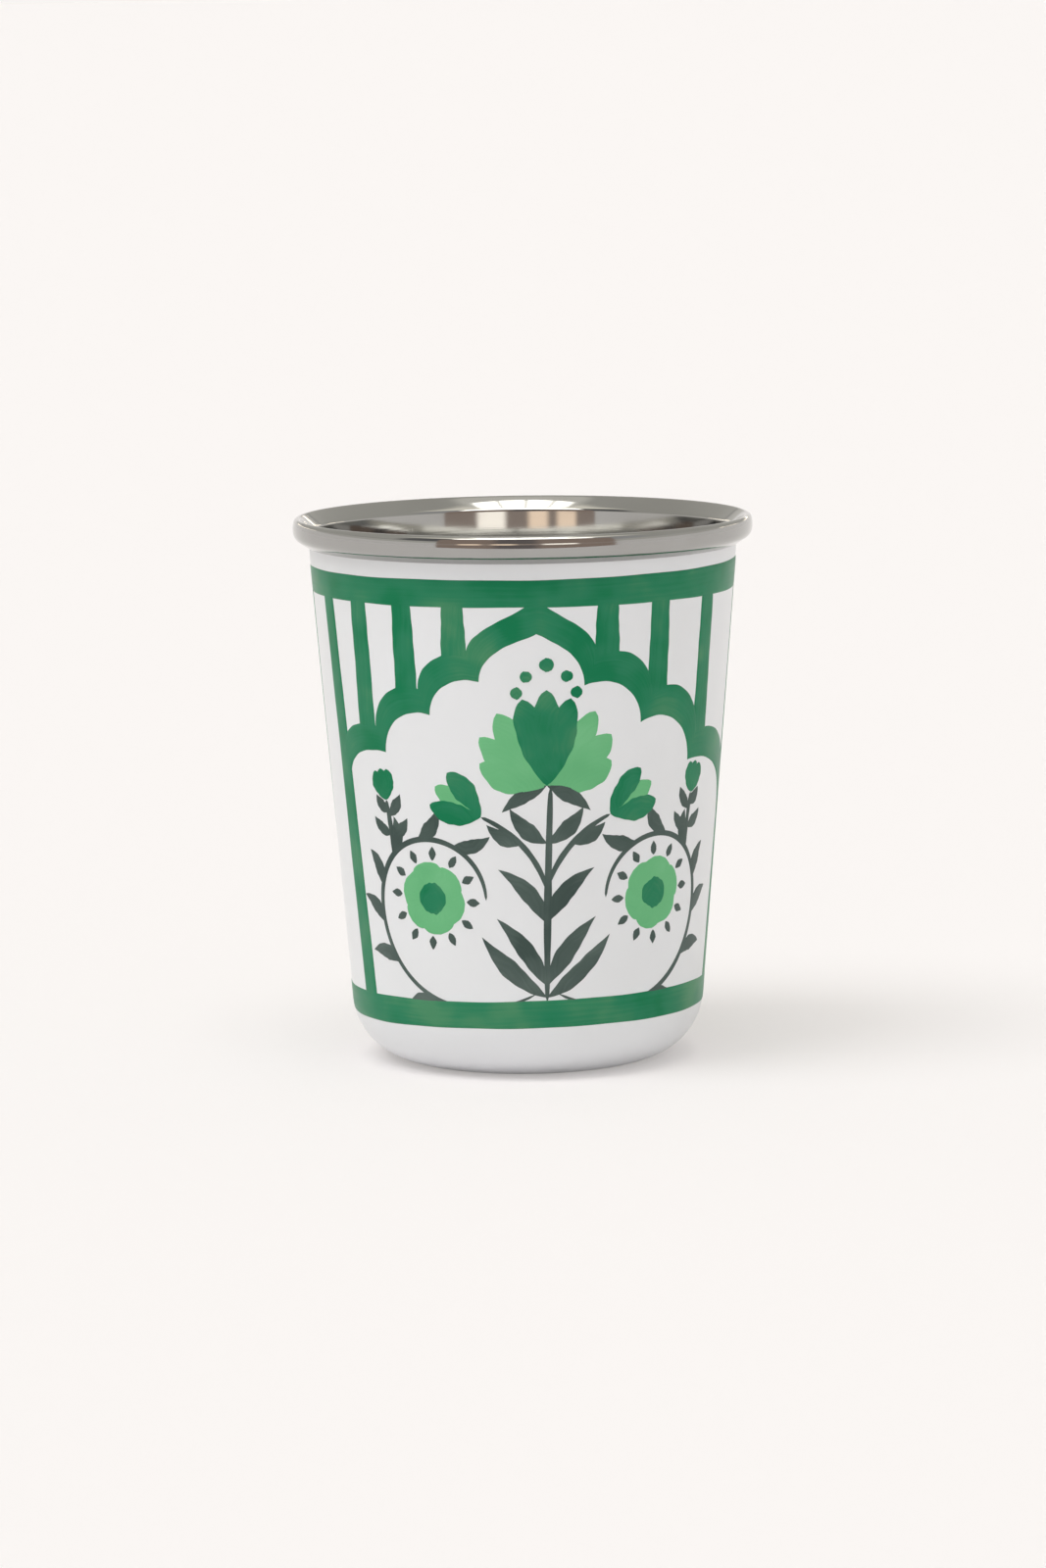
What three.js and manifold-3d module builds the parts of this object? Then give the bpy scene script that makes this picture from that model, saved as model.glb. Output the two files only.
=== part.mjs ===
// Hand-painted stainless steel tumbler, in millimetres, standing on z = 0 with its axis on Z.
// One drawn steel sheet makes the floor, the tapered wall and the rolled rim. A white ground
// coat covers the outside, and the green bands, columns, cusped arches and stripes are
// strokes of paint laid over it. Angles are measured round the axis from the front, -Y.

import * as THREE from 'three';
import { mergeVertices } from 'three/addons/utils/BufferGeometryUtils.js';
import Module from 'manifold-3d';

const wasm = await Module();
wasm.setup();

const radians = THREE.MathUtils.degToRad;

// Steel sheet
const HEIGHT = 95;
const WALL_TOP_DIAMETER = 74.9; // outside of the bare wall, carried on up to the rim's height
const WALL_FOOT_DIAMETER = 59.4; // outside of the bare wall, carried on down to the table
const SHEET = 0.6;
const HEEL_RADIUS = 11.2; // outside of the rounded corner between floor and wall
const STANDING_RING = 3; // flat width round the base that the cup stands on
const RECESS_DEPTH = 0.8; // how far the middle of the base is pressed up
const RECESS_BEND = 1.5; // to the middle of the sheet

// Rolled rim, in the order of the roll: flare, crest, outer face, lower bend, tuck. Its bends
// are measured on the inside of the sheet.
const FLARE_ANGLE = radians(40); // mean turn of the flare out from the wall
const FLARE_SWAY = radians(8); // how far the flare itself curves over
const FLARE_BEND = 0.7;
const CREST_BEND = 0.2;
const ROLL_PROJECTION = 2.65; // widest place of the outer face beyond the wall
const FACE_BEND = 4; // the outer face is a shallow barrel
const FACE_RISE = radians(15); // the barrel's arc above its widest place
const FACE_FALL = radians(10); // the barrel's arc below it
const LOWER_BEND = 1.3;
const TUCK_ANGLE = radians(57); // how far the lower bend turns in from straight down
const TUCK_GAP = 0.2; // sheet's edge to the wall

// Coats of paint
const GROUND_COAT = 0.2;
const COLOUR_COAT = 0.12;
const COAT_GAP = 0.02; // air between two coats, so that no faces are shared
const COAT_FOOT_LIFT = 0.05; // lower edge of the ground coat above the table
const COAT_RIM_GAP = 0.1; // upper edge of the ground coat below the roll

// Painted pattern
const UPPER_BAND_DROP = 7.6; // top edge of the upper band below the rim
const UPPER_BAND_WIDTH = 4.8;
const LOWER_BAND_LIFT = 9.7; // bottom edge of the lower band above the table
const LOWER_BAND_WIDTH = 4.8;
const ARCH_SPAN = radians(140); // between the inner edges of an arch's two columns
const ARCH_WIDTH = 4.7; // width of the painted arch
const CROWN_DROP = 4.4; // tip of the arch's opening below the upper band
const CROWN_TIP = 1.3; // height of the point on the middle lobe
const LOBE_DROP = 6.7; // each lobe's end below its start
const LOBE_LEAD = radians(18); // turn of a lobe before it starts to fall
const COLUMN_WIDTH = 4;
const STRIPE_WIDTH = 4.2;
const STRIPE_SET_OUT = 2.5; // stripe's middle beyond the cusp that it stands over

// Counts
const LOBES = 4; // on each half of an arch, with half of the middle lobe as the first
const SEGMENTS = 60; // round the axis
const HEEL_STEPS = 6;
const CREST_STEPS = 6;
const BEND_STEPS = 3;
const LOBE_STEPS = 7;

const STEEL = { color: 0x92908a, roughness: 0.22, metalness: 1 };
const WHITE = { color: 0xdededc, roughness: 0.25, metalness: 0 };
const GREEN = { color: 0x2d7c59, roughness: 0.35, metalness: 0 };

// The outside of the bare wall is a straight line, radius against height, that runs into
// the heel's arc.
const wallSlope = (WALL_TOP_DIAMETER - WALL_FOOT_DIAMETER) / 2 / HEIGHT;
const wallTaper = Math.atan(wallSlope);
const wallRadius = (z) => WALL_FOOT_DIAMETER / 2 + wallSlope * z;
const heelCentre = wallRadius(HEEL_RADIUS) - HEEL_RADIUS / Math.cos(wallTaper);
const heelTurn = Math.PI / 2 - wallTaper;

// A sheet bent in straights and arcs, followed along the middle of its thickness in the
// plane of radius and height. A positive turn is to the left.
class SheetPath {
  constructor(r, z, heading) {
    this.stations = [{ r, z, heading }];
  }

  get end() {
    return this.stations.at(-1);
  }

  straight(length) {
    const { r, z, heading } = this.end;
    const along = { r: r + length * Math.cos(heading), z: z + length * Math.sin(heading) };
    this.stations.push({ ...along, heading });
    return this;
  }

  bend(radius, turn, steps) {
    const { r, z, heading } = this.end;
    const arm = Math.sign(turn) * radius;
    const centre = { r: r - arm * Math.sin(heading), z: z + arm * Math.cos(heading) };
    for (let i = 1; i <= steps; i++) {
      const h = heading + (turn * i) / steps;
      this.stations.push({ r: centre.r + arm * Math.sin(h), z: centre.z - arm * Math.cos(h), heading: h });
    }
    return this;
  }

  // The line that runs beside the path, to the left for a positive distance.
  beside(distance) {
    return this.stations.map(
      ({ r, z, heading }) =>
        new THREE.Vector2(r - distance * Math.sin(heading), z + distance * Math.cos(heading)),
    );
  }

  // The sheet's cut face: out along its right side and back along its left.
  section(thickness) {
    return [...this.beside(-thickness / 2), ...this.beside(thickness / 2).reverse()];
  }
}

// The steel from the middle of the base to the edge tucked under the roll. The flare spans from
// the bend at its foot to the crest, which fixes its length and where the wall ends.
function steelPath() {
  const recessTurn = Math.acos(1 - RECESS_DEPTH / (2 * RECESS_BEND));
  const recessRun = 2 * RECESS_BEND * Math.sin(recessTurn);
  const path = new SheetPath(0, SHEET / 2 + RECESS_DEPTH, 0);
  path.straight(heelCentre - STANDING_RING - recessRun);
  path.bend(RECESS_BEND, -recessTurn, BEND_STEPS).bend(RECESS_BEND, recessTurn, BEND_STEPS);
  path.straight(STANDING_RING).bend(HEEL_RADIUS - SHEET / 2, heelTurn, HEEL_STEPS);

  const insides = [FLARE_BEND, CREST_BEND, FACE_BEND, LOWER_BEND];
  const [flareRadius, crestRadius, faceRadius, lowerRadius] = insides.map((inside) => inside + SHEET / 2);
  const faceReach = (faceRadius + SHEET / 2) * (1 - Math.cos(FACE_RISE));
  const crestReach = (crestRadius + SHEET / 2) * Math.cos(FACE_RISE) + faceReach;
  const crestR = WALL_TOP_DIAMETER / 2 + ROLL_PROJECTION - crestReach - path.end.r;
  const crestZ = HEIGHT - crestRadius - SHEET / 2 - path.end.z;
  const crestAlong = crestR * Math.sin(wallTaper) + crestZ * Math.cos(wallTaper);
  const crestAside = crestR * Math.cos(wallTaper) - crestZ * Math.sin(wallTaper);
  const setOut = FLARE_ANGLE - FLARE_SWAY / 2;
  const arrive = FLARE_ANGLE + FLARE_SWAY / 2;
  const bendsAlong = flareRadius * Math.sin(setOut) - crestRadius * Math.sin(arrive);
  const bendsAside = flareRadius * (1 - Math.cos(setOut)) + crestRadius * Math.cos(arrive);
  const flareChord = (crestAside - bendsAside) / Math.sin(FLARE_ANGLE);
  const swayRadius = flareChord / 2 / Math.sin(FLARE_SWAY / 2);
  path.straight(crestAlong - bendsAlong - flareChord * Math.cos(FLARE_ANGLE));
  path.bend(flareRadius, -setOut, BEND_STEPS).bend(swayRadius, -FLARE_SWAY, BEND_STEPS);
  path.bend(crestRadius, arrive - heelTurn - Math.PI / 2 + FACE_RISE, CREST_STEPS);
  path.bend(faceRadius, -FACE_RISE - FACE_FALL, BEND_STEPS);
  path.bend(lowerRadius, FACE_FALL - TUCK_ANGLE, BEND_STEPS);

  const edgeR = path.end.r - (SHEET / 2) * Math.cos(TUCK_ANGLE);
  const edgeZ = path.end.z + (SHEET / 2) * Math.sin(TUCK_ANGLE);
  const tuckRate = Math.sin(TUCK_ANGLE) - wallSlope * Math.cos(TUCK_ANGLE);
  return path.straight((edgeR - wallRadius(edgeZ) - TUCK_GAP) / tuckRate);
}

// The painted outside from one height to another, a given lift off the bare steel: the
// stretch of the heel's arc that lies between them, then the wall.
function outside(lift, zLow, zHigh) {
  const radius = HEEL_RADIUS + lift;
  const heelEnd = HEEL_RADIUS - radius * Math.cos(heelTurn);
  const points = [];
  if (zLow < heelEnd) {
    const start = Math.acos((HEEL_RADIUS - zLow) / radius);
    const angles = [start];
    for (let i = 1; i <= HEEL_STEPS; i++) {
      const angle = (heelTurn * i) / HEEL_STEPS;
      if (angle > start) angles.push(angle);
    }
    for (const angle of angles) {
      const r = heelCentre + radius * Math.sin(angle);
      points.push(new THREE.Vector2(r, HEEL_RADIUS - radius * Math.cos(angle)));
    }
  } else {
    points.push(new THREE.Vector2(wallRadius(zLow) + lift / Math.cos(wallTaper), zLow));
  }
  points.push(new THREE.Vector2(wallRadius(zHigh) + lift / Math.cos(wallTaper), zHigh));
  return points;
}

// A coat's cut face, between two lifts and two heights.
function coatSection(lift, thickness, zLow, zHigh) {
  const profile = [...outside(lift + thickness, zLow, zHigh), ...outside(lift, zLow, zHigh).reverse()];
  return [...profile, profile[0]];
}

function revolve(profile) {
  return new THREE.LatheGeometry(profile, SEGMENTS).rotateX(Math.PI / 2);
}

function toSolid(geometry) {
  const bare = geometry.clone();
  bare.deleteAttribute('normal');
  bare.deleteAttribute('uv');
  const merged = mergeVertices(bare);
  const vertProperties = new Float32Array(merged.attributes.position.array);
  const triVerts = new Uint32Array(merged.index.array);
  return new wasm.Manifold(new wasm.Mesh({ numProp: 3, vertProperties, triVerts }));
}

function toGeometry(solid) {
  const { vertProperties, triVerts } = solid.getMesh();
  const geometry = new THREE.BufferGeometry();
  geometry.setAttribute('position', new THREE.BufferAttribute(vertProperties, 3));
  geometry.setIndex(new THREE.BufferAttribute(triVerts, 1));
  geometry.computeVertexNormals();
  return geometry;
}

const tumbler = new THREE.Group();

function addPiece(name, geometry, look) {
  const mesh = new THREE.Mesh(geometry, new THREE.MeshStandardMaterial(look));
  mesh.name = name;
  tumbler.add(mesh);
}

// Steel shell
const steel = steelPath();
addPiece('steel_shell', revolve(steel.section(SHEET)), STEEL);

// Ground coat, from just off the table to the tucked edge of the roll
const rollBottom = steel.end.z - (SHEET / 2) * Math.sin(TUCK_ANGLE);
const coatTop = rollBottom - COAT_RIM_GAP;
addPiece('white_ground_coat', revolve(coatSection(COAT_GAP, GROUND_COAT, COAT_FOOT_LIFT, coatTop)), WHITE);

// Bands
const strokeLift = GROUND_COAT + 2 * COAT_GAP;
const upperBandTop = HEIGHT - UPPER_BAND_DROP;
const upperBandFoot = upperBandTop - UPPER_BAND_WIDTH;
const lowerBandTop = LOWER_BAND_LIFT + LOWER_BAND_WIDTH;
const upperBand = coatSection(strokeLift, COLOUR_COAT, upperBandFoot, upperBandTop);
const lowerBand = coatSection(strokeLift, COLOUR_COAT, LOWER_BAND_LIFT, lowerBandTop);
addPiece('upper_green_band', revolve(upperBand), GREEN);
addPiece('lower_green_band', revolve(lowerBand), GREEN);

// Columns, arches and stripes are drawn flat, in millimetres along the wall and height,
// and wrapped round the axis as stencils. Each stroke is the part of one thin ring of paint
// between the bands that its stencil lets through.
const panelFoot = lowerBandTop + COAT_GAP;
const panelTop = upperBandFoot - COAT_GAP;
const paintRing = toSolid(revolve(coatSection(strokeLift, COLOUR_COAT, panelFoot, panelTop)));
const wrapRadius = wallRadius((panelFoot + panelTop) / 2);
const lobeWidth = (ARCH_SPAN / 2 / LOBES) * wrapRadius;
const archHalf = LOBES * lobeWidth;

// A stencil reaches to both sides of the wall. Its faces are chords, so it stands off the paint by
// the sag of the widest one, across half of the middle lobe and the arch's width.
const widestChord = (lobeWidth + ARCH_WIDTH) / wrapRadius;
const stencilReach = wrapRadius * (1 - Math.cos(widestChord)) + 2 * (strokeLift + COLOUR_COAT);

function stencil(outline, turn) {
  const block = new THREE.ExtrudeGeometry(new THREE.Shape(outline), { depth: 1, bevelEnabled: false });
  const position = block.attributes.position;
  for (let i = 0; i < position.count; i++) {
    const angle = turn + position.getX(i) / wrapRadius;
    const depth = THREE.MathUtils.lerp(-stencilReach, stencilReach, position.getZ(i));
    const radius = wallRadius(position.getY(i)) + depth;
    position.setXYZ(i, radius * Math.sin(angle), -radius * Math.cos(angle), position.getY(i));
  }
  return toSolid(block);
}

function upright(middle, width, foot, turn) {
  const corners = [
    new THREE.Vector2(middle - width / 2, foot),
    new THREE.Vector2(middle + width / 2, foot),
    new THREE.Vector2(middle + width / 2, HEIGHT),
    new THREE.Vector2(middle - width / 2, HEIGHT),
  ];
  return stencil(corners, turn);
}

// The opening's edge along one lobe, to the right of the arch's middle: an elliptical arc
// that leads on from the last cusp and falls to the next. The first lobe is the right half
// of the middle one, which starts level and carries the point.
const cuspHeight = (lobe) => panelTop - CROWN_DROP - CROWN_TIP - lobe * LOBE_DROP;

function lobeEdge(lobe) {
  const lead = lobe === 0 ? 0 : -LOBE_LEAD;
  const left = lobe * lobeWidth;
  const foot = cuspHeight(lobe + 1);
  const points = [];
  for (let i = 0; i <= LOBE_STEPS; i++) {
    const angle = THREE.MathUtils.lerp(lead, Math.PI / 2, i / LOBE_STEPS);
    const across = (Math.sin(angle) - Math.sin(lead)) / (1 - Math.sin(lead));
    const tip = lobe === 0 ? CROWN_TIP * (1 - across) ** 3 : 0;
    const z = foot + (LOBE_DROP * Math.cos(angle)) / Math.cos(lead) + tip;
    points.push(new THREE.Vector2(left + lobeWidth * across, z));
  }
  return points;
}

const mirrored = (points) => points.map((point) => new THREE.Vector2(-point.x, point.y)).reverse();

// A lobe of the painted arch: its edge, and the same edge moved out by the arch's width, with
// the corner at the arch's point mitred.
function lobeOutline(edge) {
  const last = edge.length - 1;
  const way = (from, to) => edge[to].clone().sub(edge[from]).normalize();
  const outer = edge.map((point, i) => {
    const before = Math.max(i - 1, 0);
    const after = Math.min(i + 1, last);
    const along = way(before, after);
    const reach = ARCH_WIDTH / along.dot(way(before, before + 1));
    return point.clone().add(new THREE.Vector2(-along.y, along.x).multiplyScalar(reach));
  });
  return [...edge, ...outer.reverse()];
}

const crownHalf = lobeEdge(0);
const archEdges = [[...mirrored(crownHalf).slice(0, -1), ...crownHalf]];
for (let lobe = 1; lobe < LOBES; lobe++) {
  archEdges.push(lobeEdge(lobe), mirrored(lobeEdge(lobe)));
}

const sides = { left: -1, right: 1 };
const faces = { front: 0, back: Math.PI };

for (const [face, turn] of Object.entries(faces)) {
  const lobes = archEdges.map((edge) => stencil(lobeOutline(edge), turn));
  let arch = lobes.reduce((whole, lobe) => whole.add(lobe));
  for (const [name, side] of Object.entries(sides)) {
    const column = upright(side * (archHalf + COLUMN_WIDTH / 2), COLUMN_WIDTH, 0, turn);
    addPiece(`${face}_${name}_column`, toGeometry(paintRing.intersect(column)), GREEN);
    const pastArch = upright(side * (archHalf + ARCH_WIDTH), 2 * ARCH_WIDTH, 0, turn);
    arch = arch.subtract(pastArch);
  }
  addPiece(`${face}_arch`, toGeometry(paintRing.intersect(arch)), GREEN);

  for (const [name, side] of Object.entries(sides)) {
    for (let lobe = 1; lobe < LOBES; lobe++) {
      const middle = side * (lobe * lobeWidth + STRIPE_SET_OUT);
      const stripe = upright(middle, STRIPE_WIDTH, cuspHeight(lobe) + ARCH_WIDTH / 2, turn);
      const stroke = paintRing.intersect(stripe.subtract(arch));
      addPiece(`${face}_${name}_stripe_${lobe}`, toGeometry(stroke), GREEN);
    }
  }
}

export default tumbler;
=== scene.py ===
"""A hand-painted steel tumbler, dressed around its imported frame. Sizes are in metres."""
import math

import bmesh
import bpy
import numpy as np
from mathutils import Matrix, Vector


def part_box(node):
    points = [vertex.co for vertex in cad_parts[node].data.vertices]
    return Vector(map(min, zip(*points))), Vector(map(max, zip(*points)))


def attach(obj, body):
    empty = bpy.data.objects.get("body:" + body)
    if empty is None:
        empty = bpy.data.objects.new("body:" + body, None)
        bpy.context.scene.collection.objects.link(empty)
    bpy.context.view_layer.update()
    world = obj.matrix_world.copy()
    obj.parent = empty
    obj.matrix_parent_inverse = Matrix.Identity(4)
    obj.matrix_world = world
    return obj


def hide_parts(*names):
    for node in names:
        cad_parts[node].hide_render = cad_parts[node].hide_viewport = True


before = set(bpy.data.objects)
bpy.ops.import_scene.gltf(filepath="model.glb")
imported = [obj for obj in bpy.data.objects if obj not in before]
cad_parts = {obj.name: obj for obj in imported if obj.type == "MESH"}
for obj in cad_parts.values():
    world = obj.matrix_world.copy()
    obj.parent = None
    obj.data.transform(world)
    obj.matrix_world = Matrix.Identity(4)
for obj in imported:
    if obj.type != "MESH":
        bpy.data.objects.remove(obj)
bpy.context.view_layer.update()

# Steel shell
# A disc of stainless sheet, deep drawn into a tapered cup, curled outwards at the mouth into a hollow
# roll and pressed up at the base. The roll is polished on a lathe, and the inside keeps a satin grain.
MM = 0.001
rim_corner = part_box("steel_shell")[1]
HEIGHT = rim_corner[2]
RIM_RADIUS = rim_corner[0]
WALL_FOOT_RADIUS = 29.7 * MM
WALL_TOP_RADIUS = 37.45 * MM
SHEET = 0.6 * MM
HEEL_RADIUS = 11.2 * MM
STANDING_RING = 3 * MM
RECESS_DEPTH = 0.8 * MM
RECESS_BEND = 1.5 * MM
FLARE_BEND = 1 * MM
FLARE_TURN = math.radians(40)
FLARE_SWAY = math.radians(8)
CREST_BEND = 0.5 * MM
FACE_BEND = 4.3 * MM
FACE_RISE = math.radians(15)
FACE_FALL = math.radians(10)
LOWER_BEND = 1.6 * MM
TUCK_TURN = math.radians(57)
TUCK_GAP = 0.2 * MM
BASE_STEPS = 6
RING_STEPS = 2
WALL_STEPS = 24
FLARE_STEPS = 8
CREST_STEPS = 20
FACE_STEPS = 12
TUCK_STEPS = 3
SHELL_AROUND = 256
SEAM = 1e-7
CREASE = math.radians(35)
STEEL = (0.4, 0.398, 0.386, 1)
STEEL_SMUDGED = (0.376, 0.373, 0.36, 1)
STEEL_SATIN = (0.76, 0.755, 0.735, 1)
POLISH_FOOT = 88 * MM
POLISH_FADE = 3 * MM
POLISH_ROUGHNESS = 0.03
RING_FINENESS = 5200
RING_WANDER = 40
RING_ROUGHNESS = 0.06
RING_BUMP = 0.05
RING_DEPTH = 0.02 * MM
SMUDGE_SCALE = 70
SMUDGE_LIMITS = (0.45, 0.75)
SMUDGE_ROUGHNESS = 0.04
SATIN_ROUGHNESS = 0.14
SATIN_RING_ROUGHNESS = 0.16
LATHE_GRAIN = 0.4

wall_slope = (WALL_TOP_RADIUS - WALL_FOOT_RADIUS) / HEIGHT
wall_taper = math.atan(wall_slope)
heel_turn = math.pi / 2 - wall_taper
heel_centre = WALL_FOOT_RADIUS + wall_slope * HEEL_RADIUS - HEEL_RADIUS / math.cos(wall_taper)


def run_on(line, length, steps):
    """Carries a line of radius, height and heading straight on by a length."""
    heading = line[-1, 2]
    way = np.linspace(0, length, steps + 1)[1:, None]
    return np.vstack([line, line[-1] + way * [math.cos(heading), math.sin(heading), 0]])


def bend_on(line, radius, turn, steps):
    """Carries a line of radius, height and heading round an arc, to the left for a positive turn.

    Along the arc the radius grows by the sine of the heading and the height falls by its cosine.
    """
    r, z, heading = line[-1]
    arm = math.copysign(radius, turn)
    h = heading + np.linspace(0, turn, steps + 1)[1:]
    r = r + arm * (np.sin(h) - math.sin(heading))
    z = z - arm * (np.cos(h) - math.cos(heading))
    return np.vstack([line, np.column_stack([r, z, h])])


def beside(line, distance):
    """Radius and height of the line that runs at a distance to the left of a line with headings."""
    return line[:, :2] + distance * np.column_stack([-np.sin(line[:, 2]), np.cos(line[:, 2])])


def steel_middle():
    """The middle of the sheet from the axis to the edge tucked under the roll.

    The flare sways a little about its mean turn, and joins the bend at its foot to the crest, which
    gives its start and length. The roll's face is a shallow arc about its widest place.
    """
    recess_turn = math.acos(1 - RECESS_DEPTH / (2 * RECESS_BEND))
    recess_run = 2 * RECESS_BEND * math.sin(recess_turn)
    line = np.array([[0, SHEET / 2 + RECESS_DEPTH, 0]])
    line = run_on(line, heel_centre - STANDING_RING - recess_run, BASE_STEPS)
    line = bend_on(line, RECESS_BEND, -recess_turn, BASE_STEPS)
    line = bend_on(line, RECESS_BEND, recess_turn, BASE_STEPS)
    line = run_on(line, STANDING_RING, RING_STEPS)
    line = bend_on(line, HEEL_RADIUS - SHEET / 2, heel_turn, WALL_STEPS)
    crest_reach = (CREST_BEND + SHEET / 2) * math.cos(FACE_RISE)
    crest_reach += (FACE_BEND + SHEET / 2) * (1 - math.cos(FACE_RISE))
    crest_r = RIM_RADIUS - crest_reach - line[-1, 0]
    crest_z = HEIGHT - CREST_BEND - SHEET / 2 - line[-1, 1]
    along = crest_r * math.sin(wall_taper) + crest_z * math.cos(wall_taper)
    aside = crest_r * math.cos(wall_taper) - crest_z * math.sin(wall_taper)
    set_out, arrive = FLARE_TURN - FLARE_SWAY / 2, FLARE_TURN + FLARE_SWAY / 2
    flare = aside - FLARE_BEND * (1 - math.cos(set_out)) - CREST_BEND * math.cos(arrive)
    flare /= math.sin(FLARE_TURN)
    bends = FLARE_BEND * math.sin(set_out) - CREST_BEND * math.sin(arrive)
    line = run_on(line, along - bends - flare * math.cos(FLARE_TURN), WALL_STEPS)
    line = bend_on(line, FLARE_BEND, -set_out, FLARE_STEPS)
    line = bend_on(line, flare / 2 / math.sin(FLARE_SWAY / 2), -FLARE_SWAY, FLARE_STEPS)
    line = bend_on(line, CREST_BEND, arrive - heel_turn - math.pi / 2 + FACE_RISE, CREST_STEPS)
    line = bend_on(line, FACE_BEND, -FACE_RISE - FACE_FALL, FACE_STEPS)
    line = bend_on(line, LOWER_BEND, FACE_FALL - TUCK_TURN, FACE_STEPS)
    edge_r = line[-1, 0] - SHEET / 2 * math.cos(TUCK_TURN)
    edge_z = line[-1, 1] + SHEET / 2 * math.sin(TUCK_TURN)
    rate = math.sin(TUCK_TURN) - wall_slope * math.cos(TUCK_TURN)
    tuck = (edge_r - WALL_FOOT_RADIUS - wall_slope * edge_z - TUCK_GAP) / rate
    return run_on(line, tuck, TUCK_STEPS)


def revolve(section, around):
    """A section of radius and height turned once round the axis: one row of it for each angle,
    measured from the front, -Y, towards +X, with the first row repeated at the end."""
    angle = np.linspace(0, 2 * np.pi, around + 1)[:, None]
    r, z = section.T
    return np.stack([r * np.sin(angle), -r * np.cos(angle), np.tile(z, (around + 1, 1))], -1)


def grid_faces(rows, columns, closed=False):
    """Quads between neighbouring rows and columns, and where closed from the last column to the first."""
    row, column = np.mgrid[0 : rows - 1, 0 : columns if closed else columns - 1]
    after = (column + 1) % columns
    corners = [row * columns + column, (row + 1) * columns + column]
    corners += [(row + 1) * columns + after, row * columns + after]
    return np.stack(corners, -1).reshape(-1, 4)


def placed(name, data):
    """A new object in the scene, at the origin."""
    made = bpy.data.objects.new(name, data)
    bpy.context.scene.collection.objects.link(made)
    return made


def new_piece(name, points, faces, material, replaced=(), uv=None):
    """Puts points and faces into a mesh, joins its seams and poles, and fixes it to the cup."""
    mesh = bpy.data.meshes.new(name)
    mesh.from_pydata(points.reshape(-1, 3).tolist(), [], [list(face) for face in faces])
    if uv is not None:
        corner = np.empty(len(mesh.loops), dtype=np.int32)
        mesh.loops.foreach_get("vertex_index", corner)
        mesh.uv_layers.new(name="stroke").data.foreach_set("uv", uv.reshape(-1, 2)[corner].ravel())
    build = bmesh.new()
    build.from_mesh(mesh)
    bmesh.ops.remove_doubles(build, verts=build.verts, dist=SEAM)
    bmesh.ops.recalc_face_normals(build, faces=build.faces)
    build.to_mesh(mesh)
    build.free()
    mesh.shade_smooth()
    mesh.set_sharp_from_angle(angle=CREASE)
    mesh.materials.append(material)
    piece = placed(name, mesh)
    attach(piece, "root")
    if replaced:
        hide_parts(*replaced)


class Socket:
    """One output of a node tree. Arithmetic on it adds Math nodes, and node() adds any other."""

    def __init__(self, tree, output=None):
        self.tree = tree
        self.output = output

    def node(self, kind, settings, inputs, output=0):
        """An output of a new node, after its settings and the values or links of its inputs."""
        made = self.tree.nodes.new("ShaderNode" + kind)
        for key, value in settings.items():
            setattr(made, key, value)
        for key, value in inputs.items():
            if isinstance(value, Socket):
                self.tree.links.new(value.output, made.inputs[key])
            else:
                made.inputs[key].default_value = value
        return Socket(self.tree, made.outputs[output])

    def maths(self, operation, *values):
        """A Math node on numbers and sockets."""
        return self.node("Math", {"operation": operation}, dict(enumerate(values)))

    def __add__(self, other):
        return self.maths("ADD", self, other)

    def __rsub__(self, other):
        return self.maths("SUBTRACT", other, self)

    def __mul__(self, other):
        return self.maths("MULTIPLY", self, other)

    __radd__ = __add__
    __rmul__ = __mul__

    def ramp(self, low, high):
        """Nought below low and one above high, with a smooth step between."""
        limits = {"Value": self, "From Min": low, "From Max": high}
        return self.node("MapRange", {"interpolation_type": "SMOOTHSTEP"}, limits)

    def mix(self, first, second):
        """The first colour where this is nought and the second where it is one. The Mix node holds
        sockets of several types, and these numbers are its colour ones."""
        return self.node("Mix", {"data_type": "RGBA"}, {0: self, 6: first, 7: second}, 2)

    def xyz(self, x, y, z):
        """A vector of three values."""
        return self.node("CombineXYZ", {}, {0: x, 1: y, 2: z})

    def part(self, axis):
        """One of this vector's three values."""
        return self.node("SeparateXYZ", {}, {0: self}, axis)

    def noise(self, vector, scale, detail=2.0):
        """Soft noise about a half, read at a vector."""
        return self.node("TexNoise", {}, {"Vector": vector, "Scale": scale, "Detail": detail})


def new_material(name):
    """A material, its node tree and its main shader."""
    material = bpy.data.materials.new(name)
    material.use_nodes = True
    return material, Socket(material.node_tree), material.node_tree.nodes["Principled BSDF"]


def feed(shader, **values):
    """Links or sets a shader's sockets, with the underscores of their names read as spaces."""
    for key, value in values.items():
        target = shader.inputs[key.replace("_", " ")]
        if isinstance(value, Socket):
            value.tree.links.new(value.output, target)
        else:
            target.default_value = value


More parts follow.
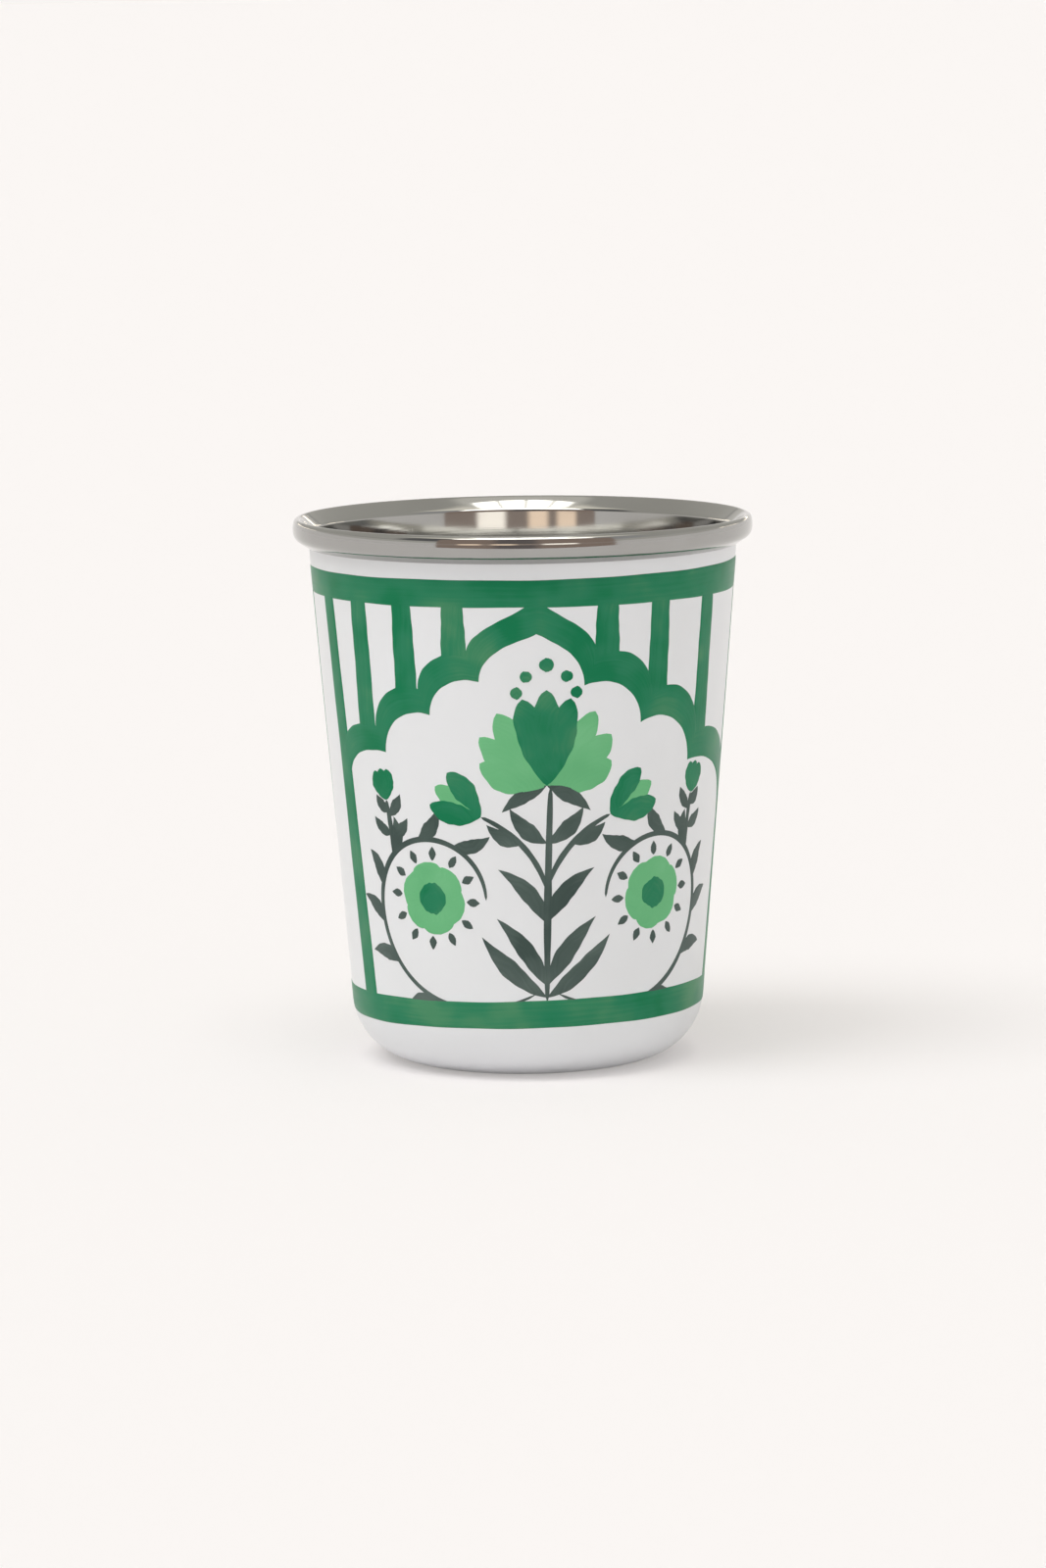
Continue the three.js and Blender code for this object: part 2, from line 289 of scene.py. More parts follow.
def polished_steel():
    """Bright steel: fine rings of polish, finer than they can be counted, and faint smudges. Below
    the roll the rings show more, and the steel is paler and more matt."""
    material, graph, shader = new_material("polished_steel")
    place = graph.node("TexCoord", {}, {}, "Object")
    level = graph.xyz(place.part(0), place.part(1), 0)
    radius = graph.node("VectorMath", {"operation": "LENGTH"}, {0: level}, "Value")
    finely = (place.part(2) + radius) * RING_FINENESS
    turned = graph.xyz(place.part(0) * RING_WANDER, place.part(1) * RING_WANDER, finely)
    rings = graph.noise(turned, 1)
    smudge = graph.noise(place, SMUDGE_SCALE).ramp(*SMUDGE_LIMITS)
    satin = 1 - place.part(2).ramp(POLISH_FOOT - POLISH_FADE, POLISH_FOOT)
    feed(shader, Base_Color=satin.mix(smudge.mix(STEEL, STEEL_SMUDGED), STEEL_SATIN))
    polished = rings * RING_ROUGHNESS + smudge * SMUDGE_ROUGHNESS + POLISH_ROUGHNESS
    matt = rings * SATIN_RING_ROUGHNESS + SATIN_ROUGHNESS
    bump = graph.node("Bump", {}, {"Strength": RING_BUMP, "Distance": RING_DEPTH, "Height": rings})
    feed(shader, Roughness=polished + satin * matt, Normal=bump)
    feed(shader, Metallic=1.0, Anisotropic=LATHE_GRAIN)
    return material


middle = steel_middle()
steel_section = np.vstack([beside(middle, -SHEET / 2), beside(middle, SHEET / 2)[::-1]])
steel_grid = revolve(steel_section, SHELL_AROUND)
steel_faces = grid_faces(*steel_grid.shape[:2])
new_piece("tumbler_shell", steel_grid, steel_faces, polished_steel(), ["steel_shell"])

# White ground coat
# Gloss enamel brushed over the whole outside as a ground for the painting. It runs from the tucked
# edge of the roll, down the wall and round the heel, and stops just off the table.
GROUND_COAT = 0.2 * MM
COAT_GAP = 0.02 * MM
COAT_FOOT_LIFT = 0.05 * MM
COAT_RIM_GAP = 0.04 * MM
COAT_STEPS = 40
COAT_AROUND = 256
ENAMEL_WHITE = (0.8, 0.815, 0.835, 1)
ENAMEL_WORN = (0.78, 0.795, 0.81, 1)
ENAMEL_ROUGHNESS = 0.25
GROUND_GLOSS = 0.4
CLOUD_SCALE = 45
CLOUD_DETAIL = 3
CLOUD_LIMITS = (0.35, 0.8)
CLOUD_ROUGHNESS = 0.15
CLOUD_BUMP = 0.1
CLOUD_DEPTH = 0.1 * MM

coat_top = middle[-1, 1] - SHEET / 2 * math.sin(TUCK_TURN) - COAT_RIM_GAP


def outside(lift, low, high, steps):
    """The outside of the cup between two heights, a lift off the steel: heel arc, then wall."""
    radius = HEEL_RADIUS + lift
    start = math.acos((HEEL_RADIUS - low) / radius)
    h = np.linspace(start, heel_turn, steps)
    heel = np.column_stack([heel_centre + radius * np.sin(h), HEEL_RADIUS - radius * np.cos(h)])
    z = np.linspace(heel[-1, 1], high, steps)[1:]
    wall = np.column_stack([WALL_FOOT_RADIUS + wall_slope * z + lift / math.cos(wall_taper), z])
    return np.vstack([heel, wall])


def white_enamel():
    """Gloss white with the faint unevenness of a brushed coat."""
    material, graph, shader = new_material("white_enamel")
    place = graph.node("TexCoord", {}, {}, "Object")
    cloud = graph.noise(place, CLOUD_SCALE, CLOUD_DETAIL)
    feed(shader, Base_Color=cloud.ramp(*CLOUD_LIMITS).mix(ENAMEL_WHITE, ENAMEL_WORN))
    bump = graph.node("Bump", {}, {"Strength": CLOUD_BUMP, "Distance": CLOUD_DEPTH, "Height": cloud})
    feed(shader, Roughness=cloud * CLOUD_ROUGHNESS + ENAMEL_ROUGHNESS, Normal=bump)
    feed(shader, Specular_IOR_Level=GROUND_GLOSS)
    return material


coat_outer = outside(COAT_GAP + GROUND_COAT, COAT_FOOT_LIFT, coat_top, COAT_STEPS)
coat_inner = outside(COAT_GAP, COAT_FOOT_LIFT, coat_top, COAT_STEPS)
coat_grid = revolve(np.vstack([coat_outer, coat_inner[::-1]]), COAT_AROUND)
coat_faces = grid_faces(*coat_grid.shape[:2], closed=True)
new_piece("ground_coat", coat_grid, coat_faces, white_enamel(), ["white_ground_coat"])

# Green bands
# Two rings of green enamel, one under the roll and one where the wall runs into the heel. They are
# drawn freehand with a flat brush, so their edges drift and the hairs leave streaks along them.
BAND_FILM = 0.1 * MM
FILM_SINK = 0.04 * MM
FILM_SLOPE = 0.15
BAND_AROUND = 360
LOWER_BAND_TILT = 0.45 * MM
LOWER_BAND_SAG = 0.6 * MM
UPPER_BAND_SWELL = 0.3 * MM
EDGE_DRIFT = 0.1 * MM
DRIFT_TURNS = np.array([[3], [7], [16]])
DRIFT_STEPS = np.array([[1.7], [2.9], [4.1]])
DRIFT_SHARES = np.array([[0.5], [0.35], [0.25]])
GREEN_DEEP = (0.002, 0.185, 0.074, 1)
GREEN = (0.018, 0.21, 0.1, 1)
GREEN_THIN = (0.066, 0.255, 0.125, 1)
STREAK_WIDTH = 0.5 * MM
STREAK_LENGTH = 16 * MM
STREAK_DETAIL = 3
HAIR_SHARE = 0.2
HAIR_ROUGHNESS = 0.15
HAIR_BUMP = 0.12
HAIR_DEPTH = 0.03 * MM
PATCH_SCALE = 100
PATCH_SHARE = 0.8
PATCH_SHIFT = (-18 * MM, 0, 39 * MM)
# Below this height the enamel's colour is pushed towards its palest tone, more so nearer the foot.
PALER_BELOW = 16 * MM
PALER_FADE = 8 * MM
PALER_SHARE = 0.07
PLAIN_LIMITS = (0.36, 0.52)
THIN_LIMITS = (0.5, 0.72)
PAINT_GLOSS = 0.14
FILM_ACROSS = np.array([0, 0.015, 0.05, 0.15, 0.35, 0.65, 0.85, 0.95, 0.985, 1, 0.7, 0.3])
FILM_RISE = np.array([0, 0.5, 0.85, 1, 1, 1, 1, 0.85, 0.5, 0, 0, 0])
FILM_UNDER = np.array([0, 0, 0, 0, 0, 0, 0, 0, 0, 0, 1, 1])

coat_lift = COAT_GAP + GROUND_COAT
panel_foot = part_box("lower_green_band")[1][2]
panel_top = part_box("upper_green_band")[0][2]
wrap_radius = WALL_FOOT_RADIUS + wall_slope * (panel_foot + panel_top) / 2


def on_coat(x, z, lift, turn):
    """Wraps a flat drawing round the coat: x runs along the wall, z up it, and lift stands off it.

    On the wall the radius grows with height; below the heel's start the point lies on its arc.
    """
    radius = HEEL_RADIUS + coat_lift
    h = np.minimum(np.arccos(np.clip((HEEL_RADIUS - z) / radius, -1, 1)), heel_turn)
    on_wall = z > HEEL_RADIUS - radius * math.cos(heel_turn)
    wall_r = WALL_FOOT_RADIUS + wall_slope * z + (coat_lift + lift) / math.cos(wall_taper)
    r = np.where(on_wall, wall_r, heel_centre + (radius + lift) * np.sin(h))
    height = np.where(on_wall, z, HEEL_RADIUS - (radius + lift) * np.cos(h))
    angle = turn + x / wrap_radius
    return np.stack([r * np.sin(angle), -r * np.cos(angle), height], -1)


def drift(way, seed, size):
    """How far a hand strays along an edge: three slow sines of unlike length, out of step."""
    return size * (np.sin(DRIFT_TURNS * way + DRIFT_STEPS * seed) * DRIFT_SHARES).sum(0)


def film(edges, thickness, turn, seed):
    """A film of paint between two edges, each a row of x and z: flat on top with round shoulders,
    sunk a little into the coat, and thinner where the stroke narrows. Its map runs along and across."""
    first, second = edges
    width = np.linalg.norm(second - first, axis=1)[:, None]
    across = FILM_ACROSS[None, :, None]
    flat = first[:, None] * (1 - across) + second[:, None] * across
    body = np.minimum(1, width * FILM_SLOPE / thickness)
    lift = body * (thickness * FILM_RISE - FILM_SINK * FILM_UNDER)
    points = on_coat(flat[..., 0], flat[..., 1], lift, turn)
    steps = np.linalg.norm(np.diff(first + second, axis=0), axis=1) / 2
    along = np.concatenate([[0], np.cumsum(steps)])[:, None] + seed * STREAK_LENGTH
    uv = np.stack(np.broadcast_arrays(along, (width - width.mean()) / 2 + width * FILM_ACROSS), -1)
    corners = np.arange(points[..., 0].size).reshape(points.shape[:2])
    faces = grid_faces(*corners.shape, closed=True).tolist()
    return points.reshape(-1, 3), faces, corners[[0, -1]].tolist(), uv.reshape(-1, 2)


def paint(name, films, material, replaced=(), capped=True):
    """Joins films of one colour into one piece."""
    points, faces, uv, count = [], [], [], 0
    for film_points, film_faces, ends, film_uv in films:
        faces += [[count + i for i in face] for face in film_faces + (ends if capped else [])]
        points.append(film_points)
        uv.append(film_uv)
        count += len(film_points)
    new_piece(name, np.vstack(points), faces, material, replaced, np.vstack(uv))


def brushed_enamel(name, deep, plain, thin):
    """Enamel laid with a brush: streaks along the stroke, where the hairs leave it thick or thin,
    slow patches where it was loaded or worked over twice, and a paler tone towards the foot."""
    material, graph, shader = new_material(name)
    place = graph.node("UVMap", {"uv_map": "stroke"}, {})
    along = place.part(0) * (1 / STREAK_LENGTH)
    streaks = graph.xyz(along, place.part(1) * (1 / STREAK_WIDTH), 0)
    hairs = graph.noise(streaks, 1, STREAK_DETAIL)
    solid = graph.node("TexCoord", {}, {}, "Object")
    shifted = graph.node("Mapping", {}, {"Vector": solid, "Location": PATCH_SHIFT})
    # Paler towards the foot: a ramp on height that adds to the mix and moves the colour towards its
    # palest tone.
    paler_low = 1 - solid.part(2).ramp(PALER_BELOW, PALER_BELOW + PALER_FADE)
    worked = graph.noise(shifted, PATCH_SCALE) * PATCH_SHARE + hairs * HAIR_SHARE + paler_low * PALER_SHARE
    laid = worked.ramp(*PLAIN_LIMITS).mix(deep, plain)
    feed(shader, Base_Color=worked.ramp(*THIN_LIMITS).mix(laid, thin))
    bump = graph.node("Bump", {}, {"Strength": HAIR_BUMP, "Distance": HAIR_DEPTH, "Height": hairs})
    feed(shader, Roughness=hairs * HAIR_ROUGHNESS + ENAMEL_ROUGHNESS, Normal=bump)
    feed(shader, Specular_IOR_Level=PAINT_GLOSS)
    return material


green_paint = brushed_enamel("green_enamel", GREEN_DEEP, GREEN, GREEN_THIN)
round_way = np.linspace(-np.pi, np.pi, BAND_AROUND + 1)
for node, tilt, sag, swell, seed in (
    ("upper_green_band", 0, 0, UPPER_BAND_SWELL, 1),
    ("lower_green_band", LOWER_BAND_TILT, LOWER_BAND_SAG, 0, 2),
):
    low, high = (corner[2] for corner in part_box(node))
    lean = tilt * np.sin(round_way) - sag * np.sin(round_way) ** 2
    lower = low + lean + drift(round_way, seed, EDGE_DRIFT)
    upper = high + lean + swell * np.sin(round_way) + drift(round_way, seed + 5, EDGE_DRIFT)
    x = round_way * wrap_radius
    ring = film([np.column_stack([x, upper]), np.column_stack([x, lower])], BAND_FILM, 0, seed)
    paint(node.replace("green", "painted"), [ring], green_paint, [node], capped=False)

# Columns and stripes
# Upright strokes of the same green: two columns from band to band beside each arch, and three stripes
# on each side that end on the arch. Places and feet are in millimetres on the unrolled wall.
FACES = {"front": 0, "back": math.pi}
SIDES = {"left": -1, "right": 1}
COLUMN_FILM = 0.085 * MM
STRIPE_FILM = 0.08 * MM
UNDER_BAND = 2 * MM
UPRIGHT_STEPS = 40
UPRIGHT_SEED = 10
COLUMN_TOPS = {"left": 42.6, "right": 50}
COLUMN_FEET = {"left": 39.6, "right": 45}
COLUMN_TOP_WIDTH = 3.5 * MM
COLUMN_FOOT_WIDTH = 4.5 * MM
STRIPE_TOP_WIDTH = 3.55 * MM
STRIPE_FOOT_WIDTH = 4.4 * MM
STRIPE_PLACES = {"left": (14.9, 23.9, 33.3), "right": (10, 19.8, 31.5)}
STRIPE_FEET = {"left": (72, 66, 59), "right": (72, 65, 57)}


def upright(top, foot, top_width, foot_width, seed):
    """The two edges of a stroke from a top point to a foot point, which swells evenly on the way."""
    down = np.linspace(0, 1, UPRIGHT_STEPS)
    middle = np.outer(1 - down, top) + np.outer(down, foot)
    half = (top_width * (1 - down) + foot_width * down) / 2
    first, second = middle.copy(), middle.copy()
    first[:, 0] -= half + drift(down * 2, seed, EDGE_DRIFT)
    second[:, 0] += half + drift(down * 2, seed + 3, EDGE_DRIFT)
    return first, second


for face, turn in FACES.items():
    for side, sign in SIDES.items():
        seed = UPRIGHT_SEED + 4 * sign + turn
        top = (sign * COLUMN_TOPS[side] * MM, panel_top + UNDER_BAND)
        foot = (sign * COLUMN_FEET[side] * MM, panel_foot - UNDER_BAND)
        edges = upright(top, foot, COLUMN_TOP_WIDTH, COLUMN_FOOT_WIDTH, seed)
        node = face + "_" + side + "_column"
        painted = [film(edges, COLUMN_FILM, turn, seed)]
        paint("painted_" + node, painted, green_paint, [node])
        for i, (place, height) in enumerate(zip(STRIPE_PLACES[side], STRIPE_FEET[side])):
            top = (sign * place * MM, panel_top + UNDER_BAND)
            foot = (sign * place * MM, height * MM)
            edges = upright(top, foot, STRIPE_TOP_WIDTH, STRIPE_FOOT_WIDTH, seed + i)
            node = face + "_" + side + "_stripe_" + str(i + 1)
            painted = [film(edges, STRIPE_FILM, turn, seed + i)]
            paint("painted_" + node, painted, green_paint, [node])

# Arches
# A cusped arch on each face, brushed lobe by lobe from the point in the middle down to the columns.
# It is drawn in millimetres on the unrolled wall, and its two halves differ a little.
ARCH_FILM = 0.09 * MM
ARCH_POINT = (-1.6, 78.1)
ARCH_TIP = 1.3
NECK_RISE = 5.9
NECK_TIP = 3
ARCH_SHIFT = {"left": (-2, 4.4), "right": (2.2, 5)}
ARCH_CUSPS = {
    "left": ((-10.9, 70, 0), (-19.6, 64, 16), (-29.1, 56.9, 16), (-39.4, 52, 16)),
    "right": ((6.2, 69, 0), (16.6, 62, 24), (28.2, 54.3, 27), (45, 43, 10)),
}
LOBE_STEPS = 40
ARCH_SEED = 30


def lobes_edge(start, cusps, tip, seed):
    """One edge of half an arch, in millimetres: from a start point through lobes that end in cusps.

    A lobe is an elliptical arc. It sets out at its lead angle above level, falls as the cosine and
    goes across as the sine, and ends straight down. The first carries the tip, which dies out as the
    cube of the way that is left.
    """
    edge = [np.array([start])]
    for i, (end_x, end_z, lead) in enumerate(cusps):
        a = np.linspace(-math.radians(lead), math.pi / 2, LOBE_STEPS)
        across = (np.sin(a) - math.sin(a[0])) / (1 - math.sin(a[0]))
        fall = np.cos(a) / math.cos(a[0])
        peak = 0 if i else tip
        x = start[0] + (end_x - start[0]) * across
        z = end_z + (start[1] - peak - end_z) * fall + peak * (1 - across) ** 3
        edge.append(np.column_stack([x, z])[1:])
        start = (end_x, end_z)
    edge = np.vstack(edge)
    way = np.linspace(0, len(cusps), len(edge))
    edge[:, 1] += drift(way * 2, seed, EDGE_DRIFT / MM)
    return edge


for face, turn in FACES.items():
    halves = []
    for side, sign in SIDES.items():
        seed = ARCH_SEED + 5 * sign + turn
        inner = lobes_edge(ARCH_POINT, ARCH_CUSPS[side], ARCH_TIP, seed)
        shift_x, shift_z = ARCH_SHIFT[side]
        cusps = [(x + shift_x, z + shift_z, lead) for x, z, lead in ARCH_CUSPS[side]]
        neck = (ARCH_POINT[0], ARCH_POINT[1] + NECK_RISE)
        halves.append((inner, lobes_edge(neck, cusps, NECK_TIP, seed + 2)))
    edges = [np.vstack([left[:0:-1], right]) * MM for left, right in zip(*halves)]
    arch = [film(edges, ARCH_FILM, turn, ARCH_SEED + turn)]
    paint("painted_" + face + "_arch", arch, green_paint, [face + "_arch"])

# Flower painting
# Under each arch a lotus stands on a straight stem between two scrolls that close round rosettes, in
# three greens. Strokes are in millimetres and degrees: heading from upright, length and bend.
LEAF_FILM = 0.05 * MM
PETAL_FILM = 0.06 * MM
HEART_FILM = 0.09 * MM
DARK_DEEP = (0.05, 0.078, 0.07, 1)
DARK = (0.072, 0.105, 0.094, 1)
DARK_THIN = (0.11, 0.15, 0.135, 1)
LIGHT_DEEP = (0.135, 0.46, 0.205, 1)
LIGHT = (0.15, 0.485, 0.22, 1)
LIGHT_THIN = (0.18, 0.52, 0.25, 1)
FILM_STEP = 0.0003 * MM
BRUSH_STEPS = 28
BRUSH_DRIFT = 0.12
LEFT_SEED = 50
RIGHT_SEED = 60
MIDDLE_SEED = 70
THREAD = (0.25, 1)
POINTED = (1, 0.9)
ROUND = (0.5, 1)
BLUNT = (0.62, 1.25)
BROAD = (0.5, 1.5)
ACROSS = 90
STEM_WIDTH = 1
LEAF_WIDTH = 2.6
MAIN_STEM = (0, 38, 2)
MAIN_STEM_WIDTH = 1.3
MAIN_STEM_SINK = 0.5
STEM_LEAVES = (
    (15, 60, 16, -24, 3.2),
    (17, 26, 15, 22, 3.2),
    (28, 22, 13, 40, 3),
    (42, 66, 9, -40, 2.8),
)
SCROLL_EYE = (21, 32)
SCROLL_RADIUS = 10.2
SCROLL_TAIL = 15
SCROLL_START = -140
SCROLL_SWEEP = 320
VINE_LEAVES = ((0.16, 8), (0.26, 8), (0.36, 7.5), (0.46, 7), (0.57, 7), (0.68, 7.5), (0.8, 7.5))
VINE_LEAF_LEAD = 14
VINE_LEAF_BEND = 56
TWIG_FOOT = (0, 34)
TWIG = (16, 17.5, 52)
TWIG_LEAF_AT = 14
TWIG_LEAF = (80, 7, -40)
TWIG_LEAF_WIDTH = 2.4
BUD_PETALS = ((26, "green"), (90, "green"), (58, "light"))
BUD_HEADING = 58
BUD_LENGTH = 9.5
BUD_WIDTH = 4
BUD_CLOSING = 0.7
SPRAY_AT = 0.56
SPRAY = (0, 9.5, 10)
SPRAY_LEAVES = ((8, -64, 5.5), (10, 78, 5), (19, -50, 5), (21, 62, 4))
SPRAY_LEAF_WIDTH = 2.1
SPRAY_LEAF_CLOSING = 0.6
SPRAY_PETALS = (-30, 0, 30)
SPRAY_PETAL_LEAN = 10
SPRAY_PETAL_LENGTH = 5.5
SPRAY_PETAL_WIDTH = 2.8
ROSETTE_PETALS = 6
ROSETTE_RADIUS = 6.4
ROSETTE_TURN = 12
ROSETTE_HEART = 5.6
LEAFLETS = 12
LEAFLET_RADIUS = 6.6
LEAFLET_LENGTH = 2.5
LEAFLET_WIDTH = 1.4
LOTUS_FOOT = (0, 52)
LOTUS_PETALS = ((86, 12, "light"), (64, 14, "light"), (40, 15, "light"), (18, 15.5, "green"))
LOTUS_PETAL_WIDTH = 5.2
LOTUS_CLOSING = 0.35
MIDDLE_PETAL = (0, 16.5, 0)
MIDDLE_PETAL_WIDTH = 5.4
SEPAL = (108, 9, 26)
DOTS = ((3.3, 70.8), (4.9, 68))
DOT_SIZE = 2
TOP_DOT = (0, 72.8)
TOP_DOT_SIZE = 2.4


def bow(base, heading, length, bend):
    """A brush path from a base point, in millimetres. Its heading, measured from upright towards the
    right, turns evenly by the bend along its length."""
    h = np.radians(heading + bend * np.linspace(0, 1, BRUSH_STEPS))
    ways = np.column_stack([np.sin(h), np.cos(h)])
    steps = (ways[1:] + ways[:-1]) / 2 * length / (BRUSH_STEPS - 1)
    return np.array(base) + np.vstack([[0, 0], np.cumsum(steps, axis=0)])


def scroll():
    """A path from the foot of the stem that closes in to a circle round the scroll's eye: the radius
    falls off as the fourth power of the way that is left."""
    s = np.linspace(0, 1, 3 * BRUSH_STEPS)
    angle = np.radians(SCROLL_START + SCROLL_SWEEP * s)
    radius = SCROLL_RADIUS + SCROLL_TAIL * (1 - s) ** 4
    return np.array(SCROLL_EYE) + radius[:, None] * np.column_stack([np.cos(angle), np.sin(angle)])


def brush(path, width, form, sign, seed):
    """The edges of a brush stroke along a path, mirrored for the left side. Its width swells and
    closes as a sine raised to the form's fullness, with the belly moved along by the form's lean."""
    full, lean = form
    t = np.linspace(0, 1, len(path))
    along = np.gradient(path, axis=0)
    along /= np.linalg.norm(along, axis=1, keepdims=True)
    out = np.column_stack([along[:, 1], -along[:, 0]])
    half = width / 2 * np.sin(math.pi * t ** lean).clip(0) ** full
    half = (half * (1 + drift(t * 2, seed, BRUSH_DRIFT)))[:, None]
    return [edge * [sign * MM, MM] for edge in (path - out * half, path + out * half)]


def dab(x, z, size):
    """A level path through a point, for a round dab of the brush."""
    return bow((x - size / 2, z), ACROSS, size, 0)


def painted_flowers(sign, seed):
    """The strokes on one side of the stem, as lists of leaves, light petals and green ones."""
    leaves, petals = [], {"light": [], "green": []}
    vine = scroll()
    leaves.append(brush(vine, STEM_WIDTH, THREAD, sign, seed))
    for i, (part, length) in enumerate(VINE_LEAVES):
        at = round(part * (len(vine) - 1))
        ahead = vine[at + 1] - vine[at]
        heading = math.degrees(math.atan2(ahead[0], ahead[1])) + VINE_LEAF_LEAD
        path = bow(vine[at], heading, length, VINE_LEAF_BEND)
        leaves.append(brush(path, LEAF_WIDTH, POINTED, sign, seed + i))
    for height, heading, length, bend, width in STEM_LEAVES:
        path = bow((0, height), heading, length, bend)
        leaves.append(brush(path, width, POINTED, sign, seed + height))
    twig = bow(TWIG_FOOT, *TWIG)
    leaves.append(brush(twig, STEM_WIDTH, THREAD, sign, seed + 2))
    path = bow(twig[TWIG_LEAF_AT], *TWIG_LEAF)
    leaves.append(brush(path, TWIG_LEAF_WIDTH, POINTED, sign, seed + 5))
    for heading, colour in BUD_PETALS:
        path = bow(twig[-1], heading, BUD_LENGTH, (BUD_HEADING - heading) * BUD_CLOSING)
        petals[colour].append(brush(path, BUD_WIDTH, BLUNT, sign, seed + heading))
    spray = bow(vine[round(SPRAY_AT * len(vine))], *SPRAY)
    leaves.append(brush(spray, STEM_WIDTH, THREAD, sign, seed + 4))
    for at, heading, length in SPRAY_LEAVES:
        path = bow(spray[at], heading, length, -heading * SPRAY_LEAF_CLOSING)
        leaves.append(brush(path, SPRAY_LEAF_WIDTH, POINTED, sign, seed + at))
    for heading in SPRAY_PETALS:
        path = bow(spray[-1], heading + SPRAY_PETAL_LEAN, SPRAY_PETAL_LENGTH, -heading)
        petals["green"].append(brush(path, SPRAY_PETAL_WIDTH, BLUNT, sign, seed + heading))
    for i in range(ROSETTE_PETALS):
        path = bow(SCROLL_EYE, 360 * i / ROSETTE_PETALS + ROSETTE_TURN, ROSETTE_RADIUS, 0)
        petals["light"].append(brush(path, ROSETTE_RADIUS, BROAD, sign, seed + i))
    for i in range(LEAFLETS):
        heading = 360 * (i + 0.5) / LEAFLETS + ROSETTE_TURN
        base = bow(SCROLL_EYE, heading, LEAFLET_RADIUS, 0)[-1]
        path = bow(base, heading, LEAFLET_LENGTH, 0)
        leaves.append(brush(path, LEAFLET_WIDTH, POINTED, sign, seed + i))
    heart = dab(*SCROLL_EYE, ROSETTE_HEART)
    petals["green"].append(brush(heart, ROSETTE_HEART, ROUND, sign, seed + 1))
    for heading, length, colour in LOTUS_PETALS:
        path = bow(LOTUS_FOOT, heading, length, -heading * LOTUS_CLOSING)
        petals[colour].append(brush(path, LOTUS_PETAL_WIDTH, BLUNT, sign, seed + heading))
    leaves.append(brush(bow(LOTUS_FOOT, *SEPAL), LEAF_WIDTH, POINTED, sign, seed + 6))
    for x, z in DOTS:
        petals["green"].append(brush(dab(x, z, DOT_SIZE), DOT_SIZE, ROUND, sign, seed + x))
    return leaves, petals["light"], petals["green"]


dark_paint = brushed_enamel("dark_green_enamel", DARK_DEEP, DARK, DARK_THIN)
light_paint = brushed_enamel("light_green_enamel", LIGHT_DEEP, LIGHT, LIGHT_THIN)
for face, turn in FACES.items():
    both = zip(painted_flowers(-1, LEFT_SEED), painted_flowers(1, RIGHT_SEED))
    leaves, light, green = ([*left, *right] for left, right in both)
    stem = bow((0, panel_foot / MM - MAIN_STEM_SINK), *MAIN_STEM)
    leaves.append(brush(stem, MAIN_STEM_WIDTH, THREAD, 1, MIDDLE_SEED))
    petal = bow(LOTUS_FOOT, *MIDDLE_PETAL)
    green.append(brush(petal, MIDDLE_PETAL_WIDTH, BLUNT, 1, MIDDLE_SEED + 1))
    green.append(brush(dab(*TOP_DOT, TOP_DOT_SIZE), TOP_DOT_SIZE, ROUND, 1, MIDDLE_SEED + 2))
    for name, strokes, thickness, material, slot in (
        ("leaves", leaves, LEAF_FILM, dark_paint, "dark_green_paint"),
        ("light_petals", light, PETAL_FILM, light_paint, "light_green_paint"),
        ("green_petals", green, HEART_FILM, green_paint, "green_paint"),
    ):
        films = [film(edges, thickness + i * FILM_STEP, turn, i) for i, edges in enumerate(strokes)]
        paint(face + "_" + name, films, material)

# Floor
# A wide, matt, pale floor that takes the cup's soft shadow. A share of its own glow, which only the
# camera, mirrors and glass see, brings it to the pale tone of the background.
FLOOR_HALF = 400
FLOOR_COLOUR = (0.85, 0.83, 0.844, 1)
FLOOR_GLOW = (0.956, 0.922, 0.896, 1)
GLOW_SHARE = 0.35
GLOW_RAYS = ("Is Camera Ray", "Is Glossy Ray", "Is Transmission Ray")


def flat_card(name, corners, material):
    """A stage object of flat quads, each given by its four corners in turn."""
    mesh = bpy.data.meshes.new(name)
    mesh.from_pydata(corners, [], np.arange(len(corners)).reshape(-1, 4).tolist())
    mesh.materials.append(material)
    return placed(name, mesh)


corners = [(-FLOOR_HALF, -FLOOR_HALF, 0), (FLOOR_HALF, -FLOOR_HALF, 0)]
corners += [(FLOOR_HALF, FLOOR_HALF, 0), (-FLOOR_HALF, FLOOR_HALF, 0)]
floor_material, graph, floor_shader = new_material("pale_floor")
feed(floor_shader, Base_Color=FLOOR_COLOUR, Roughness=1.0, Specular_IOR_Level=0.0)
seen = sum(graph.node("LightPath", {}, {}, ray) for ray in GLOW_RAYS) * GLOW_SHARE
glow = graph.node("Emission", {}, {"Color": FLOOR_GLOW, "Strength": 1.0})
lit = Socket(graph.tree, floor_shader.outputs[0])
feed(graph.tree.nodes["Material Output"], Surface=graph.node("MixShader", {}, {0: seen, 1: lit, 2: glow}))
floor = flat_card("floor", corners, floor_material)

# Camera
# The camera stands a metre off, six degrees to one side and eight degrees up, with a long lens and a
# slight roll. These were fitted to the outline of the cup.
CAMERA_AZIMUTH = math.radians(-6)
CAMERA_ELEVATION = math.radians(7.89)
CAMERA_ROLL = math.radians(0.697)
CAMERA_DISTANCE = 1000 * MM
CAMERA_AIM_ASIDE = -0.456 * MM
CAMERA_AIM_HEIGHT = 47.64 * MM
FOCAL_PIXELS = 5812
IMAGE_HEIGHT = 1600
SENSOR = 36
CLIP_START = 50 * MM
CLIP_END = 1000

